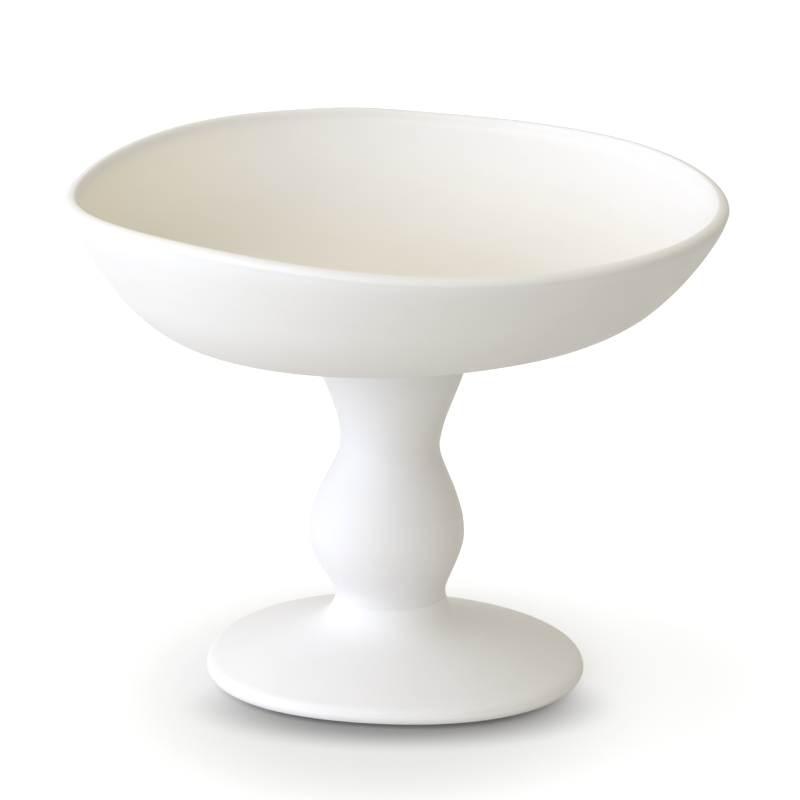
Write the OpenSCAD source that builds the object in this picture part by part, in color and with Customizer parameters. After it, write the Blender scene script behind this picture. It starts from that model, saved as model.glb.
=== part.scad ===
// Footed compote bowl in hand-formed stoneware. An uneven bowl sits on a baluster stem, and the
// stem on a low domed foot. Each joint is a spigot in a socket, with a thin bed of cement round it.
// Millimetres, +Z up. The table is at zero, the rim's outline is centred over the origin, and the
// front of the bowl faces -Y.

/* [Bowl] */
// Width of the rim from the middle of the lip to the middle of the lip opposite
rim_w = 244.4; // [200:0.2:320]
// Depth of the bowl from the middle of the lip to its underside
bowl_depth = 54; // [40:0.5:80]
// Thickness of the wall at the lip
bowl_wall = 5.4; // [4:0.1:8]
// How far the crest of the lip lies inwards from the middle of its thickness
lip_lean = 0.9; // [0:0.1:1.6]
// Thickness of the floor over the stem
bowl_floor = 8; // [6:0.5:12]
// How far the floor has slipped to the left from under the rim
floor_drift = 7.4; // [0:0.1:12]
// How far the flat underside runs on past the head of the stem
seat_margin = 12; // [10:0.5:24]

/* [Hand shaping of the bowl] */
// Rise and fall of the lip round the rim
rim_rise = 2.3; // [0:0.1:5]
// How far the rim strays in and out of a true circle
rim_stray = 1.9; // [0:0.1:4]
// How much fuller the flanks of the bowl are than its front and back
belly_sag = 3.3; // [0:0.1:6]
// Height of the pinch in the back of the lip
pinch_rise = 0.8; // [0:0.1:2]
// Place of that pinch, turned from +X
pinch_turn = 97; // [0:1:360]
// Spread of that pinch along the lip, as an angle
pinch_spread = 10; // [5:1:30]

/* [Stem] */
// Length of the stem between its joints
stem_len = 100.4; // [90:0.2:180]
// Diameter of the flared head under the bowl
head_d = 64.6; // [50:0.2:84]
// Diameter of the neck
neck_d = 37.6; // [32:0.2:50]
// Diameter of the bulge
bulge_d = 58.6; // [46:0.2:80]
// Diameter of the ankle, where the stem stands on the foot
ankle_d = 41.8; // [38:0.2:60]
// Height of the neck above the ankle
neck_h = 60; // [45:0.2:75]
// Height of the widest part of the bulge above the ankle
bulge_h = 24.4; // [18:0.2:40]
// How far the bulge leans out of line, to the left
stem_lean = 1.4; // [0:0.1:4]
// How far the stem stands to the left of the middle of the rim
stem_off = 2.2; // [0:0.1:8]
// Diameter of the bore that lets the kiln's air out of the stem
bore_d = 16; // [10:0.5:20]

/* [Foot] */
// Width of the foot
foot_w = 143.8; // [120:0.2:200]
// Height of the foot up to the ankle
foot_h = 29; // [24:0.5:50]
// Radius of the rounding at the bottom of the edge
heel_round = 3; // [1:0.2:5]
// How far the foot strays in and out of a true circle
foot_stray = 2.2; // [0:0.1:5]
// How far the edge of the foot lies off the stem, to the right
foot_drift = 1.4; // [0:0.1:6]
// Width of the flat ring that the foot stands on
ring_w = 11; // [10:0.5:16]
// Depth of the hollow under the foot
hollow_h = 12; // [8:0.5:13]

/* [Joints] */
// Diameter of the spigots under the bowl and under the stem
spigot_d = 29.4; // [24:0.2:31]
// Length that each spigot enters its socket
spigot_len = 7; // [5:0.5:8]
// Clearance round and below a spigot
spigot_gap = 0.3; // [0.1:0.05:0.6]
// Thickness of the cement in each joint
bed_t = 0.6; // [0.4:0.1:1.5]
// How far the cement stays back from the edge of its joint
bed_back = 0.2; // [0:0.1:1.5]

/* [Pads] */
// Number of pads under the foot
pad_count = 4; // [3:1:8]
// Diameter of a pad
pad_d = 8; // [6:0.5:9]
// Thickness of a pad
pad_t = 1.2; // [0.8:0.1:3]

/* [Smoothness] */
// Facets round the bowl
bowl_facets = 72; // [36:4:84]
// Facets round the stem and the foot
foot_facets = 56; // [32:4:72]
// Steps between two points of an outline
outline_steps = 3; // [2:1:4]
// Facets of drilled and turned surfaces
$fn = 96; // [48:8:160]

/* [Hidden] */

stoneware = [0.95, 0.94, 0.91];
cement = [0.92, 0.91, 0.87];
felt = [0.75, 0.74, 0.72];

// Levels from the table up
foot_z = pad_t;
lower_bed_z = foot_z + foot_h;
ankle_z = lower_bed_z + bed_t;
head_z = ankle_z + stem_len;
seat_z = head_z + bed_t;
rim_z = seat_z + bowl_depth;

stem_x = -stem_off;
seat_r = head_d / 2 + seat_margin;
lip_r = bowl_wall / 2;
outer_r = rim_w / 2 + lip_r;
inner_r = rim_w / 2 - lip_r;
ankle_r = ankle_d / 2;
foot_r = foot_w / 2;
ring_r = foot_r - heel_round - ring_w;
socket_d = spigot_d + 2 * spigot_gap;
socket_len = spigot_len + spigot_gap;
overrun = spigot_len;

// Waves that the hands left: waves in one turn, share of the stray or rise, and the crest's angle
rim_stray_shares = [[1, 1, -95], [2, 0.87, -81], [3, 0.73, -29], [4, 0.25, -26]];
rim_rise_shares = [[1, 1, 177], [2, 0.47, 58], [3, 0.73, -2], [4, 0.33, 43]];
belly_shares = [[1, 0.5, 180], [2, 1, 90], [3, 0.57, 60]];
foot_stray_shares = [[2, 1, 135], [3, 0.64, -27], [4, 0.36, 35]];

// Outside of the bowl from its flat seat out to the lip: share of the way out, share of the depth
outside_shares = [[0, 1], [0.12, 0.992], [0.26, 0.972], [0.47, 0.876], [0.655, 0.677],
    [0.8, 0.44], [0.905, 0.238], [0.977, 0.078], [1, 0]];
// Inside of the bowl from its middle out to the lip: share of the radius, share of the depth
inside_shares = [[0.03, 1], [0.22, 0.995], [0.4, 0.975], [0.54, 0.935], [0.67, 0.85],
    [0.78, 0.67], [0.87, 0.445], [0.94, 0.235], [0.985, 0.08], [1, 0]];

// Stem between two of its diameters: share of the way up, share of the change
swell_shares = [[0.05, 0.005], [0.14, 0.06], [0.27, 0.235], [0.4, 0.435], [0.53, 0.63],
    [0.67, 0.8], [0.83, 0.95]];
flare_shares = [[0.12, 0.045], [0.24, 0.13], [0.35, 0.24], [0.46, 0.36], [0.58, 0.5], [0.8, 0.765]];
// How the middle of the stem wanders on its way up: share of the length, share of the lean
lean_shares = [[0, 0], [0.06, 0.3], [0.13, 0.8], [0.24, 1], [0.36, 0.95], [0.47, 0.65],
    [0.57, 0.2], [0.68, -0.4], [0.83, -0.65], [1, 0]];

// Dome of the foot from the ankle out to the edge: share of the way out, share of the height
dome_shares = [[0, 1], [0.006, 0.95], [0.03, 0.84], [0.08, 0.7], [0.19, 0.575], [0.38, 0.46],
    [0.58, 0.355], [0.77, 0.243], [0.88, 0.172], [0.95, 0.125], [0.985, 0.078], [1, 0]];
// Hollow of the foot from its middle out to the ring: share of the way out, share of the height
hollow_shares = [[0.05, 1], [0.4, 0.97], [0.65, 0.83], [0.84, 0.52], [0.95, 0.2], [1, 0]];

function mix(from, to, share) = from + (to - from) * share;
function reversed(list) = [for (i = [len(list) - 1:-1:0]) list[i]];
function turn_at(i, count) = 360 * i / count;

// Sum of a table's waves at one angle, and the pinch's share of its height there
function waves(shares, turn) =
    let(parts = [for (w = shares) w[1] * cos(w[0] * (turn - w[2]))])
    parts * [for (p = parts) 1];
function pinch(turn) =
    let(apart = abs(turn - pinch_turn) % 360)
    exp(-pow(min(apart, 360 - apart) / pinch_spread, 2));

// A smooth curve through points, with one point of it between b and c
function curve_point(a, b, c, d, t) =
    (2 * b + (c - a) * t + (2 * a - 5 * b + 4 * c - d) * t * t
    + (3 * b - a - 3 * c + d) * t * t * t) / 2;
function curve(points, steps) =
    let(last = len(points) - 1)
    [for (i = [0:last - 1], s = [0:steps - 1])
        curve_point(points[max(i - 1, 0)], points[i], points[i + 1],
            points[min(i + 2, last)], s / steps),
        points[last]];
function arc(middle, radius, from, to, steps) =
    [for (s = [0:steps]) let(a = mix(from, to, s / steps)) middle + radius * [cos(a), sin(a)]];

// Bowl: each point of the outline is [radius, height, share of the way up to the lip]
inner_depth = bowl_depth - bowl_floor;
bowl_outside = [for (s = curve(outside_shares, outline_steps))
    [mix(seat_r, outer_r, s[0]), -s[1] * bowl_depth, 1 - s[1]]];
// The lip is broad outside its crest and tight inside it
bowl_lip = [for (p = arc([0, 0], lip_r, 0, 180, 2 * outline_steps))
    [rim_w / 2 - lip_lean + p[0] * (1 + sign(p[0]) * lip_lean / lip_r), p[1], 1]];
bowl_inside = [for (s = curve(inside_shares, outline_steps))
    [s[0] * inner_r, -s[1] * inner_depth, 1 - s[1]]];
bowl_outline = concat(bowl_outside, bowl_lip, reversed(bowl_inside));

// The waves fade out towards the floor, and the belly sags most half way up
function bowl_place(p, turn) =
    let(up = min(max(p[2], 0), 1),
        stray = sqrt(up) * waves(rim_stray_shares, turn) * rim_stray / (rim_w / 2),
        rise = up * (rim_rise * waves(rim_rise_shares, turn) + pinch_rise * pinch(turn)),
        sag = 4 * up * (1 - up) * belly_sag * waves(belly_shares, turn),
        r = p[0] * (1 + stray))
    [r * cos(turn) - (1 - up) * floor_drift, r * sin(turn), p[1] + rise + sag];
function bowl_ring(p) =
    [for (i = [0:bowl_facets - 1]) bowl_place(p, turn_at(i, bowl_facets))];

// Middle of the rim's outline, which goes over the origin
rim_ring = bowl_ring([outer_r, 0, 1]);
rim_x = [for (p = rim_ring) p[0]];
rim_y = [for (p = rim_ring) p[1]];
rim_middle = [(max(rim_x) + min(rim_x)) / 2, (max(rim_y) + min(rim_y)) / 2];

// Stem: each point of the outline is [radius, height above the ankle]
stem_outline = concat(
    [[ankle_r, 0]],
    [for (s = swell_shares) [mix(ankle_d, bulge_d, s[1]) / 2, mix(0, bulge_h, s[0])]],
    [[bulge_d / 2, bulge_h]],
    [for (s = reversed(swell_shares)) [mix(neck_d, bulge_d, s[1]) / 2,
        mix(neck_h, bulge_h, s[0])]],
    [[neck_d / 2, neck_h]],
    [for (s = flare_shares) [mix(neck_d, head_d, s[1]) / 2, mix(neck_h, stem_len, s[0])]],
    [[head_d / 2, stem_len]]);
lean_line = [for (s = lean_shares) [stem_len * s[0], -stem_lean * s[1]]];
function stem_ring(p) =
    [for (i = [0:foot_facets - 1]) let(turn = turn_at(i, foot_facets))
        [lookup(p[1], lean_line) + p[0] * cos(turn), p[0] * sin(turn), p[1]]];

// Foot: each point of the outline is [radius, height above its own base]
hollow_outline = [for (s = curve(hollow_shares, outline_steps)) [s[0] * ring_r, s[1] * hollow_h]];
heel_outline = arc([foot_r - heel_round, heel_round], heel_round, -90, 0, outline_steps);
dome_outline = [for (s = curve(dome_shares, outline_steps))
    [mix(ankle_r, foot_r, s[0]), mix(heel_round, foot_h, s[1])]];
foot_outline = concat(hollow_outline, heel_outline, reversed(dome_outline));
function foot_place(p, turn) =
    let(out = pow(p[0] / foot_r, 2),
        r = p[0] + out * foot_stray * waves(foot_stray_shares, turn))
    [out * foot_drift + r * cos(turn), r * sin(turn), p[1]];
function foot_ring(p) =
    [for (i = [0:foot_facets - 1]) foot_place(p, turn_at(i, foot_facets))];

// A closed skin through rings of points, listed from the face that looks down, up the outside
module skin(rings) {
    n = len(rings[0]);
    last = len(rings) - 1;
    walls = [for (k = [0:last - 1], i = [0:n - 1])
        let(a = k * n + i, b = k * n + (i + 1) % n, c = b + n, d = a + n)
        each [[a, d, c], [a, c, b]]];
    bottom = [for (i = [0:n - 1]) i];
    top = [for (i = [n - 1:-1:0]) last * n + i];
    polyhedron([for (r = rings) each r], concat([bottom, top], walls), convexity = 6);
}

module bowl() {
    color(stoneware) {
        translate([-rim_middle[0], -rim_middle[1], rim_z])
            skin([for (p = bowl_outline) bowl_ring(p)]);
        translate([stem_x, 0, head_z - spigot_len])
            cylinder(d = spigot_d, h = spigot_len + bed_t + bowl_floor / 2);
    }
}

// The cement between two faces, round the spigot that passes through it
module joint_bed(joint_d) {
    difference() {
        cylinder(d = joint_d - 2 * bed_back, h = bed_t);
        translate([0, 0, -overrun])
            cylinder(d = socket_d, h = bed_t + 2 * overrun);
    }
}

module upper_joint_bed() {
    color(cement)
        translate([stem_x, 0, head_z])
        joint_bed(head_d);
}

module stem() {
    color(stoneware)
        translate([stem_x, 0, ankle_z])
        difference() {
            union() {
                skin([for (p = curve(stem_outline, outline_steps - 1)) stem_ring(p)]);
                translate([0, 0, -bed_t - spigot_len])
                    cylinder(d = spigot_d, h = bed_t + 2 * spigot_len);
            }
            translate([0, 0, -bed_t - spigot_len - overrun])
                cylinder(d = bore_d, h = stem_len + bed_t + spigot_len + 2 * overrun);
            translate([0, 0, stem_len - socket_len])
                cylinder(d = socket_d, h = socket_len + overrun);
        }
}

module lower_joint_bed() {
    color(cement)
        translate([stem_x, 0, lower_bed_z])
        joint_bed(ankle_d);
}

module foot() {
    color(stoneware)
        translate([stem_x, 0, foot_z])
        difference() {
            skin([for (p = foot_outline) foot_ring(p)]);
            translate([0, 0, foot_h - socket_len])
                cylinder(d = socket_d, h = socket_len + overrun);
            translate([0, 0, -overrun])
                cylinder(d = bore_d, h = foot_h + 2 * overrun);
        }
}

module foot_pads() {
    color(felt)
        translate([stem_x, 0, 0])
        for (i = [0:pad_count - 1])
            translate(foot_place([ring_r + ring_w / 2, 0], turn_at(i + 1 / 2, pad_count)))
            cylinder(d = pad_d, h = pad_t);
}

bowl();
upper_joint_bed();
stem();
lower_joint_bed();
foot();
foot_pads();
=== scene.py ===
import math

import bmesh
import bpy
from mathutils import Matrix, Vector


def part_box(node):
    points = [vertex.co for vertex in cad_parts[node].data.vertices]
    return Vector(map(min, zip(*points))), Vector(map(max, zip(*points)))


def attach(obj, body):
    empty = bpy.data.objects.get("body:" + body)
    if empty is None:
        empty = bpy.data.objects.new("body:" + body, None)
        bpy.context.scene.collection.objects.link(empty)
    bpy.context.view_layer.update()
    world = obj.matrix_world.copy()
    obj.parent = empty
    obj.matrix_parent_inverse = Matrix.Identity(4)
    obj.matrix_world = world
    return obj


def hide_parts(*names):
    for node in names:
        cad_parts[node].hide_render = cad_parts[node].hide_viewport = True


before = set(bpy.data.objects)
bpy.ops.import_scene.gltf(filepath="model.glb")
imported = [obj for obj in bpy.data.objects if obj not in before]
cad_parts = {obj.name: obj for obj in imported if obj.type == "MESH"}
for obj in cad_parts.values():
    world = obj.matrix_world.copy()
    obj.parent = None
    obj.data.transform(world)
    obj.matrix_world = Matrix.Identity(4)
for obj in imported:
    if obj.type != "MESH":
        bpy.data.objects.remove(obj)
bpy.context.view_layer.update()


# Camera. It stands 2.2 m in front of the bowl and looks a little down into it, as the photograph
# does, so that the far lip shows above the near one.
CAMERA_AIM = Vector((0.00146, 0.0005, 0.10626))
CAMERA_AWAY = 2.2
CAMERA_DIP = 16.3

camera_data = bpy.data.cameras.new("camera")
camera_data.lens = 263.53
camera_data.sensor_width = 36
camera_data.clip_end = 50
camera = bpy.data.objects.new("camera", camera_data)
bpy.context.scene.collection.objects.link(camera)
camera.rotation_euler = (math.radians(90 - CAMERA_DIP), 0, 0)
camera.location = CAMERA_AIM + CAMERA_AWAY * Vector(
    (0, -math.cos(math.radians(CAMERA_DIP)), math.sin(math.radians(CAMERA_DIP))))
bpy.context.scene.camera = camera


# Foot. A low dome turned in stoneware, hollow beneath so that it dries and fires evenly, with a
# flat ring to stand on. Its edge was eased by hand, so it is neither quite round nor centred.
STEM_X = -0.0022
FOOT_BASE = 0.0012
FOOT_RADIUS = 0.0719
FOOT_HEIGHT = 0.029
ANKLE_RADIUS = 0.0209
HEEL_ROUND = 0.003
RING_INNER = 0.0579
HOLLOW_HEIGHT = 0.012
VENT_RADIUS = 0.008
SOCKET_RADIUS = 0.015
SOCKET_DEPTH = 0.0073
FOOT_STRAY = 0.0022
FOOT_DRIFT = 0.0014
FOOT_FACETS = 224
GLAZE_EDGE = (FOOT_BASE + 0.0003, FOOT_BASE + 0.0006)
GLAZE_EDGE_WANDER = 0.0005
FOOT_WAVES = [(2, 1, 135), (3, 0.64, -27), (4, 0.36, 35)]
DOME = [(0, 1), (0.006, 0.95), (0.03, 0.84), (0.08, 0.7), (0.19, 0.575), (0.38, 0.46),
        (0.58, 0.355), (0.77, 0.243), (0.88, 0.172), (0.95, 0.125), (0.985, 0.078), (1, 0)]
HOLLOW = [(0.05, 1), (0.4, 0.97), (0.65, 0.83), (0.84, 0.52), (0.95, 0.2), (1, 0)]


def waves(shares, turn):
    """What the hands left at one angle: a few waves, each with its count, share and crest."""
    return sum(share * math.cos(count * (turn - math.radians(crest)))
               for count, share, crest in shares)


def smooth_line(knots, steps):
    """A smooth line through the knots of an outline, with that many steps between two of them."""
    line = []
    for k in range(len(knots) - 1):
        a, b = Vector(knots[max(k - 1, 0)]), Vector(knots[k])
        c, d = Vector(knots[k + 1]), Vector(knots[min(k + 2, len(knots) - 1)])
        for s in range(steps):
            t = s / steps
            line.append((2 * b + (c - a) * t + (2 * a - 5 * b + 4 * c - d) * t ** 2
                         + (3 * b - a - 3 * c + d) * t ** 3) / 2)
    return line + [Vector(knots[-1])]


def round_corner(middle, radius, start, end, steps):
    """Points of a rounded edge, from one angle to another."""
    angles = [math.radians(start + (end - start) * s / steps) for s in range(steps + 1)]
    return [Vector(middle) + radius * Vector((math.cos(a), math.sin(a))) for a in angles]


def turned(outline, facets, closed):
    """A mesh turned from an outline of (radius, height, hand) points, as on a wheel. Hand says
    how much of the hand shaping a point takes. A fourth number says whether it lies inside a
    vessel, from 0 to 1. A closed outline ends where it starts."""
    work = bmesh.new()
    hand = work.verts.layers.float.new("hand")
    inside = work.verts.layers.float.new("inside")
    line = []
    for radius, height, share, *depth in outline:
        line.append(work.verts.new((radius, 0, height)))
        line[-1][hand] = share
        line[-1][inside] = sum(depth)
    edges = [work.edges.new(pair) for pair in zip(line, line[1:])]
    if closed:
        edges.append(work.edges.new((line[-1], line[0])))
    bmesh.ops.spin(work, geom=line + edges, cent=(0, 0, 0), axis=(0, 0, 1),
                   angle=2 * math.pi, steps=facets, use_merge=True)
    bmesh.ops.remove_doubles(work, verts=work.verts, dist=1e-7)
    bmesh.ops.recalc_face_normals(work, faces=work.faces)
    return work, hand


def finish_piece(work, name, node, material):
    """Makes a piece of the mesh in hand, smooth but for its sharp edges, in a CAD node's place."""
    for face in work.faces:
        face.smooth = True
    for edge in work.edges:
        if len(edge.link_faces) == 2 and edge.calc_face_angle(0) > math.radians(40):
            edge.smooth = False
    mesh = bpy.data.meshes.new(name)
    work.to_mesh(mesh)
    work.free()
    mesh.materials.append(material)
    piece = bpy.data.objects.new(name, mesh)
    bpy.context.scene.collection.objects.link(piece)
    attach(piece, "root")
    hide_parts(node)


def object_place(tree):
    return tree.nodes.new("ShaderNodeTexCoord").outputs["Object"]


def axes_of(tree, vector):
    split = tree.nodes.new("ShaderNodeSeparateXYZ")
    tree.links.new(vector, split.inputs["Vector"])
    return split.outputs


def noise_node(tree, place, scale, detail, roughness=0.5, distortion=0.0):
    node = tree.nodes.new("ShaderNodeTexNoise")
    node.inputs["Scale"].default_value = scale
    node.inputs["Detail"].default_value = detail
    node.inputs["Roughness"].default_value = roughness
    node.inputs["Distortion"].default_value = distortion
    tree.links.new(place, node.inputs["Vector"])
    return node.outputs["Fac"]


def ranged(tree, value, given, wanted=(0, 1)):
    """Takes a value from its given range to the wanted one, and holds it there."""
    node = tree.nodes.new("ShaderNodeMapRange")
    for socket, number in zip(("From Min", "From Max", "To Min", "To Max"), (*given, *wanted)):
        node.inputs[socket].default_value = number
    tree.links.new(value, node.inputs["Value"])
    return node.outputs["Result"]


def math_node(tree, operation, first, second):
    node = tree.nodes.new("ShaderNodeMath")
    node.operation = operation
    for socket, value in zip(node.inputs, (first, second)):
        if isinstance(value, (int, float)):
            socket.default_value = value
        else:
            tree.links.new(value, socket)
    return node.outputs["Value"]


def mixed(tree, share, first, second):
    """A colour between two others, each a socket or red, green and blue."""
    node = tree.nodes.new("ShaderNodeMix")
    node.data_type = "RGBA"
    tree.links.new(share, node.inputs["Factor"])
    for socket, value in zip((node.inputs["A"], node.inputs["B"]), (first, second)):
        if isinstance(value, tuple):
            socket.default_value = (*value, 1)
        else:
            tree.links.new(value, socket)
    return node.outputs["Result"]


def new_material(name, constants):
    """A new material, its tree and its shader, with constants in some of the shader's sockets."""
    material = bpy.data.materials.new(name)
    material.use_nodes = True
    shader = material.node_tree.nodes["Principled BSDF"]
    for socket, value in constants.items():
        shader.inputs[socket].default_value = value
    return material, material.node_tree, shader


def raise_skin(tree, shader, height, strength, distance):
    """Lets the light show a surface's fine height."""
    bump = tree.nodes.new("ShaderNodeBump")
    bump.inputs["Strength"].default_value = strength
    bump.inputs["Distance"].default_value = distance
    tree.links.new(height, bump.inputs["Height"])
    tree.links.new(bump.outputs["Normal"], shader.inputs["Normal"])


def matt_glaze_group():
    """The surface that a matt white glaze leaves on stoneware: slow changes of thickness that
    warm and cool the white, a skin like eggshell, and a few pinholes where gas came out."""
    group = bpy.data.node_groups.new("matt_glaze", "ShaderNodeTree")
    for way, name, kind in (("INPUT", "Thick", "Color"), ("INPUT", "Thin", "Color"),
                            ("OUTPUT", "Color", "Color"), ("OUTPUT", "Roughness", "Float"),
                            ("OUTPUT", "Height", "Float")):
        group.interface.new_socket(name, in_out=way, socket_type="NodeSocket" + kind)
    given = group.nodes.new("NodeGroupInput")
    result = group.nodes.new("NodeGroupOutput")
    place = object_place(group)

    flow = noise_node(group, place, scale=14, detail=3, roughness=0.45, distortion=0.6)
    mottle = noise_node(group, place, scale=95, detail=3)
    thin = math_node(group, "ADD", ranged(group, flow, (0.42, 0.78), (0, 0.75)),
                     ranged(group, mottle, (0.5, 0.75), (0, 0.25)))
    white = mixed(group, thin, given.outputs["Thick"], given.outputs["Thin"])

    cells = group.nodes.new("ShaderNodeTexVoronoi")
    cells.inputs["Scale"].default_value = 150
    group.links.new(place, cells.inputs["Vector"])
    rare = ranged(group, noise_node(group, place, scale=60, detail=1), (0.66, 0.72), (0, 0.3))
    pit = math_node(group, "MULTIPLY",
                    ranged(group, cells.outputs["Distance"], (0.05, 0.1), (1, 0)), rare)
    group.links.new(mixed(group, math_node(group, "MULTIPLY", pit, 0.35), white,
                          (0.45, 0.42, 0.37)), result.inputs["Color"])
    group.links.new(ranged(group, mottle, (0.3, 0.7), (0.52, 0.6)), result.inputs["Roughness"])

    eggshell = noise_node(group, place, scale=900, detail=2)
    peel = noise_node(group, place, scale=180, detail=2)
    skin = math_node(group, "ADD", math_node(group, "MULTIPLY", eggshell, 0.06),
                     math_node(group, "MULTIPLY", peel, 0.16))
    group.links.new(math_node(group, "SUBTRACT", skin, math_node(group, "MULTIPLY", pit, 0.6)),
                    result.inputs["Height"])
    return group


matt_glaze = matt_glaze_group()


def glazed(name, thick, thin):
    """A material with the matt glaze in its own whites, its tree, its shader and its glaze."""
    material, tree, shader = new_material(name, {"IOR": 1.45, "Specular IOR Level": 0.3})
    glaze = tree.nodes.new("ShaderNodeGroup")
    glaze.node_tree = matt_glaze
    glaze.inputs["Thick"].default_value = (*thick, 1)
    glaze.inputs["Thin"].default_value = (*thin, 1)
    tree.links.new(glaze.outputs["Color"], shader.inputs["Base Color"])
    tree.links.new(glaze.outputs["Roughness"], shader.inputs["Roughness"])
    raise_skin(tree, shader, glaze.outputs["Height"], strength=0.35, distance=0.0004)
    return material, tree, shader, glaze


foot_glaze, foot_tree, foot_shader, foot_coat = glazed(
    "foot_glaze", thick=(0.876, 0.871, 0.879), thin=(0.847, 0.839, 0.84))
# The glaze is sponged off the ring, so bare stoneware shows up to a wavering line at its edge
foot_place = object_place(foot_tree)
wander = ranged(foot_tree, noise_node(foot_tree, foot_place, scale=60, detail=3), (0, 1),
                (-GLAZE_EDGE_WANDER, GLAZE_EDGE_WANDER))
sponged_line = math_node(foot_tree, "ADD", axes_of(foot_tree, foot_place)["Z"], wander)
bare = ranged(foot_tree, sponged_line, GLAZE_EDGE, (1, 0))
grit = ranged(foot_tree, noise_node(foot_tree, foot_place, scale=1600, detail=2), (0.35, 0.65))
clay = mixed(foot_tree, grit, (0.62, 0.57, 0.49), (0.74, 0.7, 0.62))
foot_tree.links.new(mixed(foot_tree, bare, foot_coat.outputs["Color"], clay),
                    foot_shader.inputs["Base Color"])
foot_tree.links.new(
    math_node(foot_tree, "MAXIMUM", foot_coat.outputs["Roughness"],
              math_node(foot_tree, "MULTIPLY", bare, 0.9)), foot_shader.inputs["Roughness"])

foot_outline = (
    [(VENT_RADIUS, FOOT_HEIGHT - SOCKET_DEPTH, 1), (VENT_RADIUS, HOLLOW_HEIGHT, 1)]
    + [(p[0] * RING_INNER, p[1] * HOLLOW_HEIGHT, 1)
       for p in smooth_line(HOLLOW, 8) if p[0] * RING_INNER > VENT_RADIUS + 0.0005]
    + [(*p, 1) for p in round_corner((FOOT_RADIUS - HEEL_ROUND, HEEL_ROUND), HEEL_ROUND,
                                     -90, 0, 12)[:-1]]
    + [(ANKLE_RADIUS + (FOOT_RADIUS - ANKLE_RADIUS) * p[0],
        HEEL_ROUND + (FOOT_HEIGHT - HEEL_ROUND) * p[1], 1)
       for p in reversed(smooth_line(DOME, 10))]
    + [(SOCKET_RADIUS, FOOT_HEIGHT, 1), (SOCKET_RADIUS, FOOT_HEIGHT - SOCKET_DEPTH, 1)])


def foot_point(radius, turn):
    """Where the hand shaping of the foot puts a point, across and away from the stem's line."""
    out = (radius / FOOT_RADIUS) ** 2
    radius += out * FOOT_STRAY * waves(FOOT_WAVES, turn)
    return STEM_X + out * FOOT_DRIFT + radius * math.cos(turn), radius * math.sin(turn)


foot_work, _ = turned(foot_outline, FOOT_FACETS, closed=True)
for v in foot_work.verts:
    x, y = foot_point(math.hypot(v.co.x, v.co.y), math.atan2(v.co.y, v.co.x))
    v.co = (x, y, v.co.z + FOOT_BASE)
finish_piece(foot_work, "domed_foot", "foot", foot_glaze)


# Felt pads. Four discs punched from pressed wool felt and stuck under the standing ring, so that
# the bare stoneware doesn't scratch the table. Their edges are a little crushed and hairy.
PAD_RADIUS = 0.004
PAD_COUNT = 4
PAD_RING = 0.0634
PAD_CRUSH = 0.00025

felt, felt_tree, felt_shader = new_material(
    "pressed_felt", {"Sheen Weight": 0.3, "Specular IOR Level": 0.2, "Roughness": 0.95})
felt_hairs = noise_node(felt_tree, object_place(felt_tree), scale=2600, detail=4, roughness=0.7,
                        distortion=2.5)
felt_tree.links.new(mixed(felt_tree, ranged(felt_tree, felt_hairs, (0.35, 0.65)),
                          (0.66, 0.65, 0.62), (0.8, 0.79, 0.76)),
                    felt_shader.inputs["Base Color"])
raise_skin(felt_tree, felt_shader, felt_hairs, strength=0.6, distance=0.0002)

pads_work = bmesh.new()
for k in range(PAD_COUNT):
    x, y = foot_point(PAD_RING, 2 * math.pi * (k + 0.5) / PAD_COUNT)
    made = bmesh.ops.create_cone(pads_work, cap_ends=True, segments=48, radius1=PAD_RADIUS,
                                 radius2=PAD_RADIUS, depth=FOOT_BASE)
    rims = [e for e in pads_work.edges if all(v in made["verts"] for v in e.verts)
            and e.verts[0].co.z < 0 and e.verts[1].co.z < 0]
    for v in made["verts"]:
        v.co += Vector((x, y, FOOT_BASE / 2))
    bmesh.ops.bevel(pads_work, geom=rims, offset=PAD_CRUSH, segments=3, profile=0.5,
                    affect="EDGES", material=-1)
finish_piece(pads_work, "felt_pads", "foot_pads", felt)


# Lower joint. White cement set between the foot and the ankle of the stem, pressed out all round
# and wiped flush with a damp sponge while it was soft.
BED = 0.0006
ANKLE_Z = FOOT_BASE + FOOT_HEIGHT + BED
WIPED_HOLLOW = 0.000008
WIPED_STEPS = 6
STEM_FACETS = 160

cement, cement_tree, cement_shader = new_material("joint_cement", {"IOR": 1.45})
cement_grain = noise_node(cement_tree, object_place(cement_tree), scale=2200, detail=3,
                          roughness=0.6)
cement_tree.links.new(mixed(cement_tree, ranged(cement_tree, cement_grain, (0.3, 0.7)),
                            (0.83, 0.822, 0.81), (0.86, 0.85, 0.852)),
                      cement_shader.inputs["Base Color"])
cement_tree.links.new(ranged(cement_tree, cement_grain, (0.3, 0.7), (0.6, 0.75)),
                      cement_shader.inputs["Roughness"])
raise_skin(cement_tree, cement_shader, cement_grain, strength=0.3, distance=0.0001)


def cement_ring(outer, floor):
    """A ring of cement between two faces, with an edge wiped flush that is hardly hollow."""
    ways = [s / WIPED_STEPS for s in range(WIPED_STEPS + 1)]
    edge = [(outer - WIPED_HOLLOW * math.sin(math.pi * way), BED * way, 0) for way in ways]
    work, _ = turned([(SOCKET_RADIUS, 0, 0)] + edge + [(SOCKET_RADIUS, BED, 0)], STEM_FACETS,
                     closed=True)
    bmesh.ops.translate(work, verts=work.verts, vec=(STEM_X, 0, floor))
    return work


finish_piece(cement_ring(ANKLE_RADIUS, FOOT_BASE + FOOT_HEIGHT),
             "lower_cement", "lower_joint_bed", cement)


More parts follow.
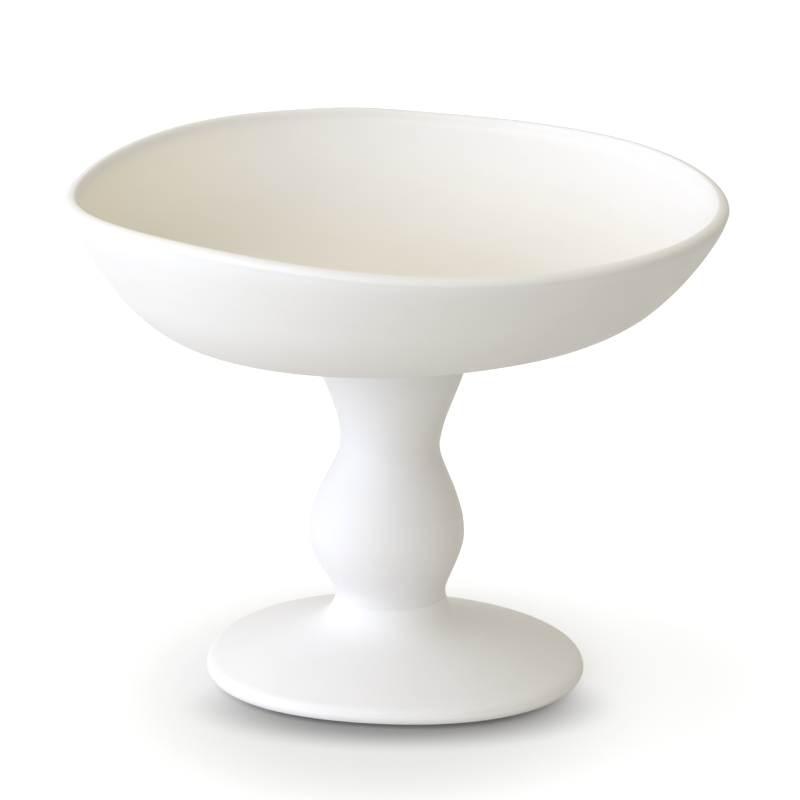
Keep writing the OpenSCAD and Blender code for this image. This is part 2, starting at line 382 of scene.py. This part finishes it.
# Stem. A baluster turned in one piece, a bulge over a narrow ankle and a neck that flares out to
# the bowl. It leans a little, as hand-turned ones do. A bore lets the kiln's air out of it.
STEM_LENGTH = 0.1004
HEAD_RADIUS = 0.0323
NECK_RADIUS = 0.0188
BULGE_RADIUS = 0.0293
NECK_HEIGHT = 0.06
BULGE_HEIGHT = 0.0244
STEM_LEAN = 0.0014
SPIGOT_RADIUS = 0.0147
SPIGOT_LENGTH = 0.007
SWELL = [(0.05, 0.005), (0.14, 0.06), (0.27, 0.235), (0.4, 0.435), (0.53, 0.63), (0.67, 0.8),
         (0.83, 0.95)]
FLARE = [(0.12, 0.045), (0.24, 0.13), (0.35, 0.24), (0.46, 0.36), (0.58, 0.5), (0.8, 0.765)]
LEAN = [(0, 0), (0.06, 0.3), (0.13, 0.8), (0.24, 1), (0.36, 0.95), (0.47, 0.65), (0.57, 0.2),
        (0.68, -0.4), (0.83, -0.65), (1, 0)]

stem_glaze, *_ = glazed("stem_glaze", thick=(0.86, 0.85, 0.858), thin=(0.832, 0.82, 0.822))


def swelling(small, large, low, high):
    """Knots of a swelling from one radius to another, on the way up from one height to another."""
    return [(small + (large - small) * share, low + (high - low) * way) for way, share in SWELL]


stem_knots = (
    [(ANKLE_RADIUS, 0)] + swelling(ANKLE_RADIUS, BULGE_RADIUS, 0, BULGE_HEIGHT)
    + [(BULGE_RADIUS, BULGE_HEIGHT)]
    + swelling(NECK_RADIUS, BULGE_RADIUS, NECK_HEIGHT, BULGE_HEIGHT)[::-1]
    + [(NECK_RADIUS, NECK_HEIGHT)]
    + [(NECK_RADIUS + (HEAD_RADIUS - NECK_RADIUS) * share,
        NECK_HEIGHT + (STEM_LENGTH - NECK_HEIGHT) * way) for way, share in FLARE]
    + [(HEAD_RADIUS, STEM_LENGTH)])
stem_outline = (
    [(*p, 1) for p in smooth_line(stem_knots, 6)]
    + [(SOCKET_RADIUS, STEM_LENGTH, 0), (SOCKET_RADIUS, STEM_LENGTH - SOCKET_DEPTH, 0),
       (VENT_RADIUS, STEM_LENGTH - SOCKET_DEPTH, 0), (VENT_RADIUS, -BED - SPIGOT_LENGTH, 0),
       (SPIGOT_RADIUS, -BED - SPIGOT_LENGTH, 0), (SPIGOT_RADIUS, 0, 0)])
lean_line = smooth_line([(way * STEM_LENGTH, share * STEM_LEAN) for way, share in LEAN], 6)


def lean_at(height):
    """How far the stem's middle lies to the left at a height."""
    for a, b in zip(lean_line, lean_line[1:]):
        if a.x <= height <= b.x:
            return a.y + (b.y - a.y) * (height - a.x) / (b.x - a.x)
    return 0


stem_work, hand = turned(stem_outline, STEM_FACETS, closed=True)
for v in stem_work.verts:
    v.co += Vector((STEM_X - v[hand] * lean_at(v.co.z), 0, ANKLE_Z))
finish_piece(stem_work, "baluster_stem", "stem", stem_glaze)


# Upper joint. The same cement on the flared head of the stem, where the flat seat of the bowl
# was set down on it and turned until it sat level. It stops just short of the head's edge.
BED_BACK = 0.0002

finish_piece(cement_ring(HEAD_RADIUS - BED_BACK, ANKLE_Z + STEM_LENGTH),
             "upper_cement", "upper_joint_bed", cement)


# Bowl. Wide and shallow, thrown and then pulled out of round by hand: the lip rises and falls,
# strays in and out, and has a small pinch at the back. The lip is rounded with a wet sponge.
SEAT_Z = ANKLE_Z + STEM_LENGTH + BED
BOWL_DEPTH = 0.054
BOWL_FLOOR = 0.008
LIP_MIDDLE = 0.1222
LIP_RADIUS = 0.0027
LIP_LEAN = 0.0009
SEAT_RADIUS = 0.0443
FLOOR_DRIFT = 0.0074
RIM_RISE = 0.0023
RIM_STRAY = 0.0019
BELLY_SAG = 0.0033
PINCH_RISE = 0.0008
PINCH_CREST = 97
PINCH_SPREAD = 10
SPIGOT_EASE = 0.0005
BOWL_FACETS = 256
SPIGOT_FACETS = 96
LIP_BAND = 0.08
RISE_WAVES = [(1, 1, 177), (2, 0.47, 58), (3, 0.73, -2), (4, 0.33, 43)]
STRAY_WAVES = [(1, 1, -95), (2, 0.87, -81), (3, 0.73, -29), (4, 0.25, -26)]
BELLY_WAVES = [(1, 0.5, 180), (2, 1, 90), (3, 0.57, 60)]
OUTSIDE = [(0, 1), (0.12, 0.992), (0.26, 0.972), (0.47, 0.876), (0.655, 0.677), (0.8, 0.44),
           (0.905, 0.238), (0.977, 0.078), (1, 0)]
INSIDE = [(0.03, 1), (0.22, 0.995), (0.4, 0.975), (0.54, 0.935), (0.67, 0.85), (0.78, 0.67),
          (0.87, 0.445), (0.94, 0.235), (0.985, 0.08), (1, 0)]

thick_white, thin_white = (0.873, 0.868, 0.868), (0.844, 0.835, 0.826)
bowl_glaze, bowl_tree, _, bowl_coat = glazed("bowl_glaze", thick_white, thin_white)


def bowl_share(place, given, region):
    """A soft-edged part of one region of the bowl."""
    part = ranged(bowl_tree, place, given)
    part.node.interpolation_type = "SMOOTHSTEP"
    return math_node(bowl_tree, "MULTIPLY", part, region)


def bowl_lookup(name):
    node = bowl_tree.nodes.new("ShaderNodeAttribute")
    node.attribute_name = name
    return node.outputs["Fac"]


# Painted light and shade in the glaze's colour. Painted light makes the outer wall just below the
# lip lighter, and the left of the inside lighter and creamier. Painted shade makes the floor of
# the inside darker and creamier, and the underside of the belly darker and warmer.
bowl_coords = bowl_tree.nodes.new("ShaderNodeTexCoord")
bowl_axes = axes_of(bowl_tree, bowl_coords.outputs["Object"])
bowl_facing = axes_of(bowl_tree, bowl_coords.outputs["Normal"])
in_bowl = bowl_lookup("inside")
off_bowl = math_node(bowl_tree, "SUBTRACT", 1, in_bowl)
painted_light_below_lip = bowl_share(bowl_lookup("hand"), (1, 1 - LIP_BAND), off_bowl)
painted_shade_under_belly = bowl_share(bowl_facing["Z"], (-0.4, -0.95), off_bowl)
painted_light_on_left = bowl_share(bowl_axes["X"], (-0.02, -0.1), in_bowl)
painted_shade_on_floor = bowl_share(bowl_axes["Z"], (SEAT_Z + 0.048, SEAT_Z + 0.013), in_bowl)
for share, painted_thick, painted_thin in (
        (painted_light_below_lip, (0.927, 0.917, 0.904), (0.896, 0.882, 0.86)),
        (painted_shade_under_belly, (0.826, 0.808, 0.787), (0.798, 0.777, 0.747)),
        (painted_light_on_left, (0.945, 0.925, 0.865), (0.915, 0.892, 0.825)),
        (painted_shade_on_floor, (0.832, 0.81, 0.754), (0.804, 0.779, 0.717))):
    thick_white = mixed(bowl_tree, share, thick_white, painted_thick)
    thin_white = mixed(bowl_tree, share, thin_white, painted_thin)
bowl_tree.links.new(thick_white, bowl_coat.inputs["Thick"])
bowl_tree.links.new(thin_white, bowl_coat.inputs["Thin"])

outer_radius = LIP_MIDDLE + LIP_RADIUS
inner_radius = LIP_MIDDLE - LIP_RADIUS
bowl_outline = (
    [(0, -BOWL_DEPTH, 0), (SPIGOT_RADIUS, -BOWL_DEPTH, 0)]
    + [(SEAT_RADIUS + (outer_radius - SEAT_RADIUS) * p[0], -p[1] * BOWL_DEPTH, 1 - p[1])
       for p in smooth_line(OUTSIDE, 9)[:-1]]
    + [(LIP_MIDDLE - LIP_LEAN + p.x * (1 + math.copysign(LIP_LEAN / LIP_RADIUS, p.x)), p.y, 1)
       for p in round_corner((0, 0), LIP_RADIUS, 0, 180, 30)]
    + [(p[0] * inner_radius, -p[1] * (BOWL_DEPTH - BOWL_FLOOR), 1 - p[1],
        min(p[1] / LIP_BAND, 1)) for p in reversed(smooth_line(INSIDE, 9)[:-1])]
    + [(0, BOWL_FLOOR - BOWL_DEPTH, 0, 1)])


def bowl_point(co, up):
    """Where the hands put a point of the bowl that is that share of the way up to the lip."""
    turn = math.atan2(co.y, co.x)
    up = min(max(up, 0), 1)
    apart = abs((math.degrees(turn) - PINCH_CREST + 180) % 360 - 180)
    pinch = PINCH_RISE * math.exp(-(apart / PINCH_SPREAD) ** 2)
    stray = math.sqrt(up) * waves(STRAY_WAVES, turn) * RIM_STRAY / LIP_MIDDLE
    rise = up * (RIM_RISE * waves(RISE_WAVES, turn) + pinch)
    sag = 4 * up * (1 - up) * BELLY_SAG * waves(BELLY_WAVES, turn)
    return Vector((co.x * (1 + stray) - (1 - up) * FLOOR_DRIFT, co.y * (1 + stray),
                   co.z + rise + sag))


bowl_work, hand = turned(bowl_outline, BOWL_FACETS, closed=False)
for v in bowl_work.verts:
    v.co = bowl_point(v.co, v[hand])
# The rim's outline goes over the middle of the CAD bowl's
rim_low, rim_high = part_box("bowl")
made_x = [v.co.x for v in bowl_work.verts]
made_y = [v.co.y for v in bowl_work.verts]
bmesh.ops.translate(bowl_work, verts=bowl_work.verts, vec=(
    (rim_low.x + rim_high.x - min(made_x) - max(made_x)) / 2,
    (rim_low.y + rim_high.y - min(made_y) - max(made_y)) / 2, SEAT_Z + BOWL_DEPTH))
# The spigot is a plug on the stem's line. Its top lies hidden in the thickness of the floor.
spigot_end = -BED - SPIGOT_LENGTH
spigot, _ = turned([(0, spigot_end, 0), (SPIGOT_RADIUS - SPIGOT_EASE, spigot_end, 0),
                    (SPIGOT_RADIUS, spigot_end + SPIGOT_EASE, 0),
                    (SPIGOT_RADIUS, BOWL_FLOOR / 2, 0), (0, BOWL_FLOOR / 2, 0)],
                   SPIGOT_FACETS, closed=False)
bmesh.ops.translate(spigot, verts=spigot.verts, vec=(STEM_X, 0, SEAT_Z))
spigot_mesh = bpy.data.meshes.new("spigot")
spigot.to_mesh(spigot_mesh)
spigot.free()
bowl_work.from_mesh(spigot_mesh)
bpy.data.meshes.remove(spigot_mesh)
finish_piece(bowl_work, "thrown_bowl", "bowl", bowl_glaze)


# Studio. A white table that runs on into a white background, and three large soft lamps from the
# left, as daylight through a row of windows, in a warm pale room. None of it is the object.
TABLE_REACH = 6
LAMP_SIZE = 1.4
LAMP_AIM = Vector((0, 0, 0.12))

table_work = bmesh.new()
bmesh.ops.create_grid(table_work, x_segments=1, y_segments=1, size=TABLE_REACH)
table_mesh = bpy.data.meshes.new("table_top")
table_work.to_mesh(table_mesh)
table_work.free()
table_top = bpy.data.objects.new("table_top", table_mesh)
bpy.context.scene.collection.objects.link(table_top)


def seen(tree):
    """1 for rays that show the studio itself: seen straight, in a gloss or through glass."""
    ray = tree.nodes.new("ShaderNodeLightPath")
    return math_node(tree, "MAXIMUM", ray.outputs["Is Camera Ray"],
                     math_node(tree, "MAXIMUM", ray.outputs["Is Glossy Ray"],
                               ray.outputs["Is Transmission Ray"]))


def vector_node(tree, operation, first, second):
    node = tree.nodes.new("ShaderNodeVectorMath")
    node.operation = operation
    tree.links.new(first, node.inputs[0])
    node.inputs[1].default_value = second
    return node


def round_patch(tree, place, middle, squeeze, radii, values):
    """One value inside a soft-edged oval on the table and another outside it."""
    offset = vector_node(tree, "SUBTRACT", place, middle).outputs["Vector"]
    scaled = vector_node(tree, "MULTIPLY", offset, (1, squeeze, 1)).outputs["Vector"]
    away = vector_node(tree, "LENGTH", scaled, (0, 0, 0)).outputs["Value"]
    result = ranged(tree, away, radii, values)
    result.node.interpolation_type = "SMOOTHSTEP"
    return result


paper, paper_tree, unused_shader = new_material("white_paper", {})
paper_tree.nodes.remove(unused_shader)
paper_shade = paper_tree.nodes.new("ShaderNodeBsdfDiffuse")
paper_white_with_painted_shadow = paper_tree.nodes.new("ShaderNodeEmission")
paper_mix = paper_tree.nodes.new("ShaderNodeMixShader")
paper_place = object_place(paper_tree)
# A grey card lies on the right, where it throws less light up under the bowl
paper_tree.links.new(
    ranged(paper_tree, axes_of(paper_tree, paper_place)["X"], (0.08, 0.2), (0.85, 0.6)),
    paper_shade.inputs["Color"])
# The paper shows its own shade near the foot, and fades to plain white further off
shade_reach = round_patch(paper_tree, paper_place, middle=(0, -0.02, 0), squeeze=1,
                          radii=(0.1, 0.2), values=(0.7, 1))
paper_tree.links.new(math_node(paper_tree, "MULTIPLY", seen(paper_tree), shade_reach),
                     paper_mix.inputs["Fac"])
# A painted shadow in the paper's white glow: a dark pool in front of the foot and a faint one all
# round it
painted_shadow_pool = round_patch(paper_tree, paper_place, middle=(0.0015, -0.043, 0), squeeze=1.56,
                   radii=(0.041, 0.085), values=(0.14, 1))
painted_shadow_halo = round_patch(paper_tree, paper_place, middle=(-0.007, -0.027, 0), squeeze=0.71,
                   radii=(0.049, 0.114), values=(0.845, 1.15))
paper_tree.links.new(math_node(paper_tree, "MULTIPLY", painted_shadow_pool, painted_shadow_halo), paper_white_with_painted_shadow.inputs["Strength"])
paper_tree.links.new(paper_shade.outputs["BSDF"], paper_mix.inputs[1])
paper_tree.links.new(paper_white_with_painted_shadow.outputs["Emission"], paper_mix.inputs[2])
paper_tree.links.new(paper_mix.outputs["Shader"],
                     paper_tree.nodes["Material Output"].inputs["Surface"])
table_mesh.materials.append(paper)

world = bpy.data.worlds.new("studio")
bpy.context.scene.world = world
world.use_nodes = True
world_tree = world.node_tree
room = world_tree.nodes["Background"]
room.inputs["Color"].default_value = (1, 0.94, 0.755, 1)
room.inputs["Strength"].default_value = 0.57
backdrop = world_tree.nodes.new("ShaderNodeBackground")
backdrop.inputs["Color"].default_value = (1, 1, 1, 1)
world_mix = world_tree.nodes.new("ShaderNodeMixShader")
world_tree.links.new(seen(world_tree), world_mix.inputs["Fac"])
world_tree.links.new(room.outputs["Background"], world_mix.inputs[1])
world_tree.links.new(backdrop.outputs["Background"], world_mix.inputs[2])
world_tree.links.new(world_mix.outputs["Shader"],
                     world_tree.nodes["World Output"].inputs["Surface"])

for name, place, power, color in (
        ("left_soft_box", (-1.9, -0.5, 0.4), 17.8, (0.66, 0.778, 1)),
        ("front_soft_box", (-0.9, -1.7, 0.9), 12.5, (0.762, 0.833, 1)),
        ("high_soft_box", (-1.2, -0.2, 1.6), 11.1, (0.964, 0.923, 1))):
    lamp = bpy.data.lights.new(name, "AREA")
    lamp.size = LAMP_SIZE
    lamp.energy = power
    lamp.color = color
    stand = bpy.data.objects.new(name, lamp)
    stand.location = place
    stand.rotation_euler = (LAMP_AIM - Vector(place)).to_track_quat("-Z", "Y").to_euler()
    bpy.context.scene.collection.objects.link(stand)

bpy.context.scene.view_settings.view_transform = "Standard"
